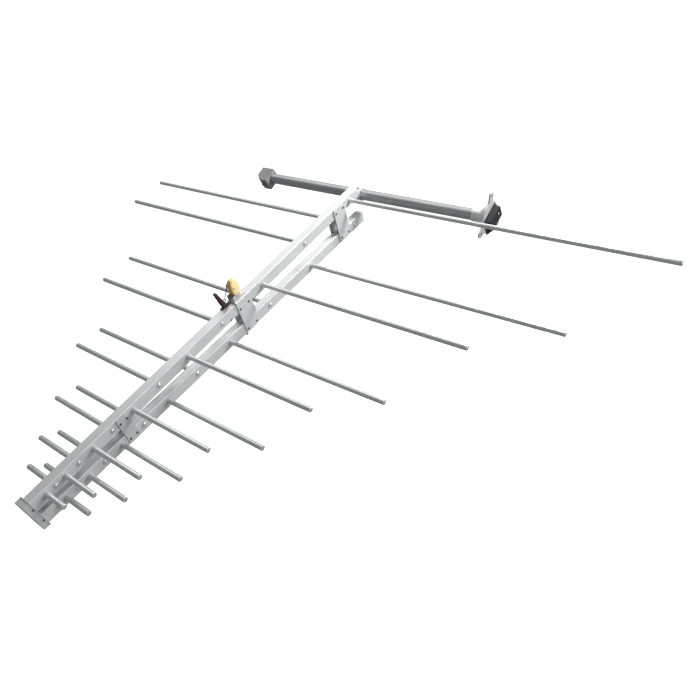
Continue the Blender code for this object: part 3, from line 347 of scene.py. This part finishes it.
def makeFinish(name, look):
    finish = bpy.data.materials.new(name)
    finish.use_nodes = True
    tree = finish.node_tree
    shader = tree.nodes["Principled BSDF"]
    shader.inputs["Metallic"].default_value = look["metallic"]
    coordinates = addNode(tree, "ShaderNodeTexCoord").outputs["Object"]

    def placeGroup(group, **values):
        node = tree.nodes.new("ShaderNodeGroup")
        node.node_tree = group
        tree.links.new(coordinates, node.inputs["Vector"])
        for key, value in values.items():
            node.inputs[key].default_value = value
        return node

    grain = placeGroup(grainGroup, Stretch=look["stretch"], Fineness=look["fine"])
    marks = placeGroup(scratchGroup)
    edges = placeGroup(edgeGroup, Strength=look["wear"])

    colour = addNode(tree, "ShaderNodeMix", {"data_type": "RGBA"})
    colour.inputs["A"].default_value = (*look["base"], 1)
    colour.inputs["B"].default_value = (*look["tint"], 1)
    both = mathNode(tree, "MULTIPLY", grain.outputs["Grain"], grain.outputs["Cloud"])
    tree.links.new(mathNode(tree, "MULTIPLY", both, finishMix["tintShare"], True),
                   colour.inputs["Factor"])
    worn = addNode(tree, "ShaderNodeMix", {"data_type": "RGBA"})
    worn.inputs["B"].default_value = (*look["edge"], 1)
    tree.links.new(colour.outputs["Result"], worn.inputs["A"])
    tree.links.new(edges.outputs["Mask"], worn.inputs["Factor"])
    tree.links.new(worn.outputs["Result"], shader.inputs["Base Color"])

    low, high = look["rough"]
    spread = addNode(tree, "ShaderNodeMapRange")
    spread.inputs["From Min"].default_value = finishMix["grainRange"][0]
    spread.inputs["From Max"].default_value = finishMix["grainRange"][1]
    spread.inputs["To Min"].default_value = low
    spread.inputs["To Max"].default_value = high
    tree.links.new(grain.outputs["Grain"], spread.inputs["Value"])
    rubbed = mathNode(tree, "MULTIPLY", marks.outputs["Mask"], finishMix["markGloss"] * look["marks"])
    tree.links.new(mathNode(tree, "ADD", spread.outputs["Result"], rubbed, True),
                   shader.inputs["Roughness"])

    cut = mathNode(tree, "MULTIPLY", marks.outputs["Mask"], -look["marks"])
    relief = mathNode(tree, "ADD", grain.outputs["Grain"], cut)
    bump = addNode(tree, "ShaderNodeBump", Strength=look["bump"],
                   Distance=finishMix["reliefDepth"])
    tree.links.new(relief, bump.inputs["Height"])
    tree.links.new(edges.outputs["Soft Normal"], bump.inputs["Normal"])
    tree.links.new(bump.outputs[0], shader.inputs["Normal"])
    return finish


def addPaintedFrontShade(finish, shadeColour):
    # painted shade: darkens the grip's colour towards a deeper orange by the share that its mesh
    # carries, standing in for the shade on its front, which faces away from the light
    tree = finish.node_tree
    shader = tree.nodes["Principled BSDF"]
    before = shader.inputs["Base Color"].links[0].from_socket
    share = addNode(tree, "ShaderNodeAttribute", {"attribute_name": "paintedFrontShade"})
    mix = addNode(tree, "ShaderNodeMix", {"data_type": "RGBA"})
    mix.inputs["B"].default_value = (*shadeColour, 1)
    tree.links.new(share.outputs["Fac"], mix.inputs["Factor"])
    tree.links.new(before, mix.inputs["A"])
    tree.links.new(mix.outputs["Result"], shader.inputs["Base Color"])


surfaceFinishes = {name: makeFinish(name, look) for name, look in finishes.items()}
# painted shade on the grip's front
addPaintedFrontShade(surfaceFinishes["yellow_plastic"], finishMix["gripPaintedShade"])
# these look different from the rest of their material
shownAs = {"latch_link_pin": "yellow_plastic", "end_housing": "housingCasting",
           "housing_cover": "housingCasting"}
for node, piece in frame["nodes"].items():
    piece.data.materials.clear()
    shown = shownAs.get(node, slotOf[node])
    piece.data.materials.append(surfaceFinishes[shown])
print("finishes made:", len(surfaceFinishes))

# ---------- elements

elementShape = {
    "spigotRadius": 3.0,
    "headRadius": 4.6,
    "headHeight": 2.6,
    "seat": 10.3,          # the boom's outer face and the clearance on it
    "footRound": 0.3,
    "tipRound": 1.0,
    "domeRows": (0.12, 1, 7),    # shares of a quarter circle, first and last, and how many
    "tipRows": (0, 0.93, 6),
    "sides": 36,
}


def elementProfile(half, radius, shape):
    # domed head, spigot, then the rod with a bevel at its foot's edge and a quarter circle at its tip
    dome = np.linspace(*shape["domeRows"]) * math.pi / 2
    head = np.stack((-shape["seat"] - shape["headHeight"] * np.cos(dome),
                     shape["headRadius"] * np.sin(dome)), -1)
    tip = np.linspace(*shape["tipRows"]) * math.pi / 2
    end = np.stack((half - shape["tipRound"] * (1 - np.sin(tip)),
                    radius - shape["tipRound"] * (1 - np.cos(tip))), -1)
    foot = ((-shape["seat"], shape["spigotRadius"]), (shape["seat"], shape["spigotRadius"]),
            (shape["seat"], radius - shape["footRound"]),
            (shape["seat"] + shape["footRound"], radius))
    return np.concatenate((head, np.array(foot), end))


def addElements():
    middle = place(0, 0, 0)[0]
    count = 0
    for node in sorted(frame["nodes"]):
        if not node.startswith("element_"):
            continue
        low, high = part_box(node)
        sign = 1 if node.endswith("right") else -1
        half = (high.x - middle if sign > 0 else middle - low.x) / mm
        start = (middle, (low.y + high.y) / 2, (low.z + high.z) / 2)
        radius = (high.z - low.z) / 2 / mm
        rings = turnedRings(elementProfile(half, radius, elementShape), start, (sign, 0, 0),
                            elementShape["sides"])
        points, faces = capped(rings)
        addPiece("rod_" + node.removeprefix("element_"), points, faces, bodyOf[node],
                 surfaceFinishes["element_aluminium"], (node,))
        count += 1
    print("elements:", count)


addElements()

# ---------- booms and cross tube

boomShape = {
    "cornerRadius": 1.5,
    "innerCorner": 0.5,
    "endRound": 0.3,
}


def addBooms():
    # a rounded rectangle carried along the boom's sloping centre line, outside and then inside
    width, height, wall = (partSizes[key] for key in ("boomWidth", "boomHeight", "boomWall"))
    slope = math.atan(partSizes["boomSlope"])
    outer = roundedRectangle(width, height, boomShape["cornerRadius"])
    small = roundedRectangle(width - 2 * boomShape["endRound"], height - 2 * boomShape["endRound"],
                             boomShape["cornerRadius"] - boomShape["endRound"])
    inner = roundedRectangle(width - 2 * wall, height - 2 * wall, boomShape["innerCorner"])
    for level, up in (("upper", 1), ("lower", -1)):
        along = np.array((0, math.cos(slope), up * math.sin(slope)))
        above = np.array((0, -up * math.sin(slope), math.cos(slope)))
        for section in ("front", "rear"):
            node = f"{level}_boom_{section}"
            low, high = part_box(node)
            tilt = height / 2 * math.sin(slope)
            ends = [low.y / mm + origin[1] + tilt, high.y / mm + origin[1] - tilt]
            rows = []
            edge = boomShape["endRound"]
            for outline, y in ((small, ends[0]), (outer, ends[0] + edge), (outer, ends[1] - edge),
                               (small, ends[1]), (inner, ends[1]), (inner, ends[0])):
                centre = place(0, 0, up * halfSpacing(0)) + along * y / math.cos(slope) * mm
                rows.append(centre + (outline[:, :1] * (1, 0, 0) + outline[:, 1:] * above) * mm)
            rings = np.stack(rows)
            faces = ringFaces(len(rings), len(outer), closeRows=True)
            addPiece(f"{level}_{section}_tube", rings, faces, bodyOf[node],
                     surfaceFinishes["boom_aluminium"], (node,))
    print("booms made")


tubeShape = {
    "endRound": 0.4,
    "sides": 72,
}


def addCrossTube():
    # a ring profile, outside and then inside, turned about the tube's axis
    edge, sides = tubeShape["endRound"], tubeShape["sides"]
    low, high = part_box("cross_tube")
    radius = (high.z - low.z) / 2 / mm
    start, length = np.array((low.x, 0, 0)), (high.x - low.x) / mm
    inner = radius - partSizes["tubeWall"]
    profile = ((0, radius - edge), (edge, radius), (length - edge, radius), (length, radius - edge),
               (length, inner), (0, inner))
    rings = turnedRings(profile, start, (1, 0, 0), sides)
    addPiece("cross_tube_skin", rings, ringFaces(len(rings), sides, closeRows=True), "root",
             surfaceFinishes["tube_aluminium"], ("cross_tube",))
    print("cross tube made")


addBooms()
addCrossTube()

# ---------- latch grip

gripShape = {
    "roundness": 2.8,
    "edge": 3.0,
    "crown": 0.5,
    "around": 72,
    "closingRows": (0.04, 1, 7),    # shares of the way out over each side, and how many
    "edgeRows": 7,
    "creaseAngle": 50,
    "shadeForward": (2.2, -0.5),     # slope and start of the painted shade, towards the front
    "shadeAcross": (-1.5, 1.6),      # and from the middle out to the sides
}


def addGrip():
    # A superellipse outline across the grip's depth and height, carried across its width. Its
    # size shrinks by a quarter circle at both edges, and each side closes in a low crown.
    low, high = (np.array(corner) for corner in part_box("latch_grip"))
    centre, half = (low + high) / 2, (high - low) / 2
    angle = np.linspace(0, 2 * math.pi, gripShape["around"], endpoint=False)
    power = 2 / gripShape["roundness"]
    outline = np.stack((np.sign(np.cos(angle)) * np.abs(np.cos(angle)) ** power,
                        np.sign(np.sin(angle)) * np.abs(np.sin(angle)) ** power), -1)
    edge, crown = gripShape["edge"] * mm, gripShape["crown"] * mm
    closing = np.linspace(*gripShape["closingRows"])
    arc = np.linspace(0, math.pi / 2, gripShape["edgeRows"])[1:]
    side = [(half[0] - crown * share ** 2, edge / half[1:] + (1 - share) * (1 - edge / half[1:]))
            for share in closing]
    rim = [(half[0] - crown - (edge - crown) * (1 - math.cos(turn)),
            edge * (1 - math.sin(turn)) / half[1:])
           for turn in arc]
    rows = side + rim
    rows += [(-across, inset) for across, inset in rows[::-1]]
    rings = np.stack([centre + np.concatenate((np.full((len(outline), 1), across),
                                               outline * half[1:] * (1 - inset)), -1)
                      for across, inset in rows])
    points, faces = capped(rings)
    piece = addPiece("grip_moulding", points, faces, "lever", surfaceFinishes["yellow_plastic"],
                     ("latch_grip",), gripShape["creaseAngle"])
    # painted shade: the front of the rim takes a deeper orange, for the shade on the side away from the
    # light
    slope, start = gripShape["shadeForward"]
    forward = np.clip(start - outline[:, 0] * slope, 0, 1)
    slope, start = gripShape["shadeAcross"]
    middle = np.clip([start + slope * abs(across) / half[0] for across, _ in rows], 0, 1)
    # this tint is the painted shade's share at each point
    tint = piece.data.attributes.new("paintedFrontShade", "FLOAT", "POINT")
    tint.data.foreach_set("value", (middle[:, None] * forward[None]).astype(np.float32).ravel())
    print("latch grip made")


addGrip()

# ---------- contact block

blockShape = {
    "halfWidth": (28.0, 23.0),    # each pair is at the flange and at the outer end
    "top": (16.0, 15.0),
    "bottom": (-27.0, -13.0),
    "ribs": 3,
    "ribDepth": 1.7,
    "ribRows": 8,             # rings to each rib
    "ribReach": 0.94,         # share of the length that the ribs take up
    "ribFlank": 1.6,          # how much steeper than a wave the flanks are, cut off flat
    "corner": 1.6,
    "cornerPoints": 4,
    "endInsets": (0.5, 2.2),  # of the bevel and of the recess's rim
    "recessInset": 2.6,
    "recess": 0.8,
}


def addContactBlock():
    # a rounded rectangle that narrows outwards; its inset rises and falls to make the ribs
    shape = blockShape
    low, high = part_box("contact_block")
    start, end = (corner.x / mm + partSizes["flangeFace"] for corner in (low, high))
    rows = []

    def addRow(x, share, inset):
        halfWidth, top, bottom = (shape[key][0] + (shape[key][1] - shape[key][0]) * share
                                  for key in ("halfWidth", "top", "bottom"))
        outline = roundedRectangle(2 * (halfWidth - inset), top - bottom - 2 * inset,
                                   shape["corner"], shape["cornerPoints"])
        rows.append(rolled(x, outline[:, 0], outline[:, 1] + (top + bottom) / 2))

    shares = np.linspace(0, shape["ribReach"], shape["ribs"] * shape["ribRows"] + 1)
    wave = 0.5 - 0.5 * np.cos(2 * math.pi * shape["ribs"] * shares / shape["ribReach"])
    for share, swell in zip(shares, wave):
        addRow(start + (end - start) * share, share,
               shape["ribDepth"] * min(1, shape["ribFlank"] * swell))
    for inset in shape["endInsets"]:
        addRow(end, 1, inset)
    addRow(end - shape["recess"], 1, shape["recessInset"])
    points, faces = capped(np.stack(rows))
    addPiece("ribbed_block", points, faces, "root", surfaceFinishes["black_plastic"],
             ("contact_block",))
    print("contact block made")


addContactBlock()

# ---------- screws

screwShape = {
    "headHeight": 1.1,
    "dome": ((1, 0), (1, 0.45), (0.93, 0.78), (0.78, 1)),    # shares of the radius and height
    "socketShare": 0.5,    # socket's size across, as a share of the head's
    "socketDepth": 0.7,
    "sides": 24,
}


def addScrew(name, centre, axis, radius, body, finishName="darkScrew"):
    # a low dome with a six-sided socket: the radius of each ring is the dome's circle or, inside,
    # a hexagon, whose radius is its flat's distance over the cosine of the angle from that flat
    axis = np.asarray(axis, float)
    across, up = sideways(axis)
    angle = np.linspace(0, 2 * math.pi, screwShape["sides"], endpoint=False)
    flat = (angle + math.pi / 6) % (math.pi / 3) - math.pi / 6
    hexagon = radius * screwShape["socketShare"] / np.cos(flat)
    circle = np.full_like(angle, radius)
    height, depth = screwShape["headHeight"], screwShape["socketDepth"]
    rows = [(circle * reach, height * rise) for reach, rise in screwShape["dome"]]
    rows += [(hexagon, height), (hexagon, height - depth)]
    rings = np.stack([np.asarray(centre) + (reach[:, None] * (np.cos(angle)[:, None] * across
                      + np.sin(angle)[:, None] * up) + rise * axis) * mm
                      for reach, rise in rows])
    points, faces = capped(rings)
    addPiece(name, points, faces, body, surfaceFinishes[finishName])


screwPlaces = {
    # name, distance along, how far inwards of the boom's centre line, drop, seat, radius, body
    "sides": (
        ("nose_screw", -30, 1.76, 0, 12.3, 1.7, "front_section"),
        ("front_plate_screw_1", 153.5, 0, 0, 12.8, 2.1, "front_section"),
        ("front_plate_screw_2", 168.5, 0, 0, 12.8, 2.1, "front_section"),
        ("rear_plate_screw_1", 803.5, 0, 0, 12.8, 2.4, "rear_section"),
        ("rear_plate_screw_2", 830.5, 0, 0, 12.8, 2.4, "rear_section"),
        ("bracket_screw_1", 469.5, 0, 4, 12.3, 2.3, "rear_section"),
        ("bracket_screw_2", 495, 0, 4, 12.3, 2.3, "rear_section"),
    ),
    # name, distance along, body
    "rivets": (("stop_rivet_front", 441.5, "front_section"), ("stop_rivet_rear", 508.5, "rear_section")),
    "rivetRise": 3,       # above the upper boom's lower face
    "rivetRadius": 2.0,
    # name, distance along the tube, distance across it
    "cover": (("cover_screw_1", -290, 8), ("cover_screw_2", -290, -14), ("cover_screw_3", -306, 2)),
    "coverTop": 16.3,     # the housing cover's outer face, above the tube's axis
    "coverRadius": 1.7,
}


def addScrews():
    count = 0
    for side, sign in (("right", 1), ("left", -1)):
        for level, up in (("upper", 1), ("lower", -1)):
            for name, y, inwards, drop, seat, radius, body in screwPlaces["sides"]:
                z = up * (halfSpacing(y) - inwards) - drop
                addScrew(f"{name}_{level}_{side}", place(sign * seat, y, z), (sign, 0, 0), radius, body)
                count += 1
    for name, y, body in screwPlaces["rivets"]:
        z = halfSpacing(y) - partSizes["boomHeight"] / 2 + screwPlaces["rivetRise"]
        addScrew(name, place(partSizes["boomWidth"] / 2, y, z), (1, 0, 0),
                 screwPlaces["rivetRadius"], body)
        count += 1
    for name, x, across in screwPlaces["cover"]:
        seat = rolled(x, across, screwPlaces["coverTop"])
        # this axis is in metres and not 1 long, so these three heads come out almost flat
        axis = rolled(x, across, screwPlaces["coverTop"] + 1) - seat
        addScrew(name, seat, axis, screwPlaces["coverRadius"], "root", "darkScrew")
        count += 1
    print("screws:", count)


addScrews()

# ---------- lights, floor and camera

lightSetup = {
    "keyPlace": (0.05, 0.5, 0.55),
    "keySize": 0.22,
    "keyPower": 13,
    "topPlace": (-1.7, 0.7, 1.9),
    "topSize": 2.0,
    "topPower": 20,
    "sidePlace": (1.9, 0.2, 0.3),
    "sideSize": 1.2,
    "sidePower": 26,
    "ambient": 0.26,
    "aim": (-0.33, -0.4, 0.0),
    "floorHalf": 30.0,
    "floorDrop": 0.8,       # below the part's lowest point
    "floorColour": (0.95, 0.95, 0.95, 1),
    "floorRoughness": 0.9,
    "floorGlow": 0.9,
}


def addLight(name, spot, size, power):
    light = bpy.data.lights.new(name, "AREA")
    light.shape = "SQUARE"
    light.size = size
    light.energy = power
    lamp = bpy.data.objects.new(name, light)
    bpy.context.scene.collection.objects.link(lamp)
    aim = np.array(lightSetup["aim"]) - np.array(spot)
    yaw = math.atan2(-aim[0], aim[1])
    pitch = math.acos(-aim[2] / np.linalg.norm(aim))
    lamp.location = spot
    lamp.rotation_euler = (pitch, 0, yaw)


def addStage():
    for name in ("key", "top", "side"):
        addLight(name + "Light", *(lightSetup[name + value] for value in ("Place", "Size", "Power")))
    world = bpy.data.worlds.new("studio")
    world.use_nodes = True
    bpy.context.scene.world = world
    tree = world.node_tree
    background = tree.nodes["Background"]
    background.inputs["Color"].default_value = (1, 1, 1, 1)
    seen = addNode(tree, "ShaderNodeLightPath").outputs["Is Camera Ray"]
    span = addNode(tree, "ShaderNodeMapRange")
    span.inputs["To Min"].default_value = lightSetup["ambient"]
    span.inputs["To Max"].default_value = 1.0
    tree.links.new(seen, span.inputs["Value"])
    tree.links.new(span.outputs["Result"], background.inputs["Strength"])
    half, level = lightSetup["floorHalf"], cadLow.z - lightSetup["floorDrop"]
    corners = [(x * half, y * half, level) for x, y in ((-1, -1), (1, -1), (1, 1), (-1, 1))]
    mesh = bpy.data.meshes.new("studioFloor")
    mesh.from_pydata(corners, [], [(0, 1, 2, 3)])
    paper = bpy.data.materials.new("whitePaper")
    paper.use_nodes = True
    shader = paper.node_tree.nodes["Principled BSDF"]
    shader.inputs["Base Color"].default_value = lightSetup["floorColour"]
    shader.inputs["Roughness"].default_value = lightSetup["floorRoughness"]
    shader.inputs["Emission Color"].default_value = (1, 1, 1, 1)
    shader.inputs["Emission Strength"].default_value = lightSetup["floorGlow"]
    mesh.materials.append(paper)
    floor = bpy.data.objects.new("studioFloor", mesh)
    bpy.context.scene.collection.objects.link(floor)
    floor.visible_diffuse = False
    floor.visible_glossy = False


addStage()

cameraSetup = {
    "place": (492.7, -974.8, 715.8),   # from the flange's seat, in millimetres
    "azimuth": 45.806,
    "elevation": 43.213,
    "roll": -15.767,
    "lens": 30.766,
    "sensorWidth": 36,
    "clipStart": 0.01,
}


def addCamera():
    azimuth, elevation = (math.radians(cameraSetup[key]) for key in ("azimuth", "elevation"))
    back = np.array((math.sin(azimuth) * math.cos(elevation),
                     -math.cos(azimuth) * math.cos(elevation), math.sin(elevation)))
    right = np.cross((0, 0, 1.0), back)
    right /= np.linalg.norm(right)
    up = np.cross(back, right)
    roll = math.radians(cameraSetup["roll"])
    rightTurned = math.cos(roll) * right + math.sin(roll) * up
    upTurned = -math.sin(roll) * right + math.cos(roll) * up
    lens = bpy.data.cameras.new("camera")
    lens.lens = cameraSetup["lens"]
    lens.sensor_width = cameraSetup["sensorWidth"]
    lens.clip_start = cameraSetup["clipStart"]
    camera = bpy.data.objects.new("camera", lens)
    bpy.context.scene.collection.objects.link(camera)
    matrix = np.eye(4)
    matrix[:3, 0], matrix[:3, 1], matrix[:3, 2] = rightTurned, upTurned, back
    matrix[:3, 3] = np.array(cameraSetup["place"]) * mm
    camera.matrix_world = Matrix(matrix.tolist())
    bpy.context.scene.camera = camera


addCamera()
bpy.context.scene.view_settings.view_transform = "Standard"
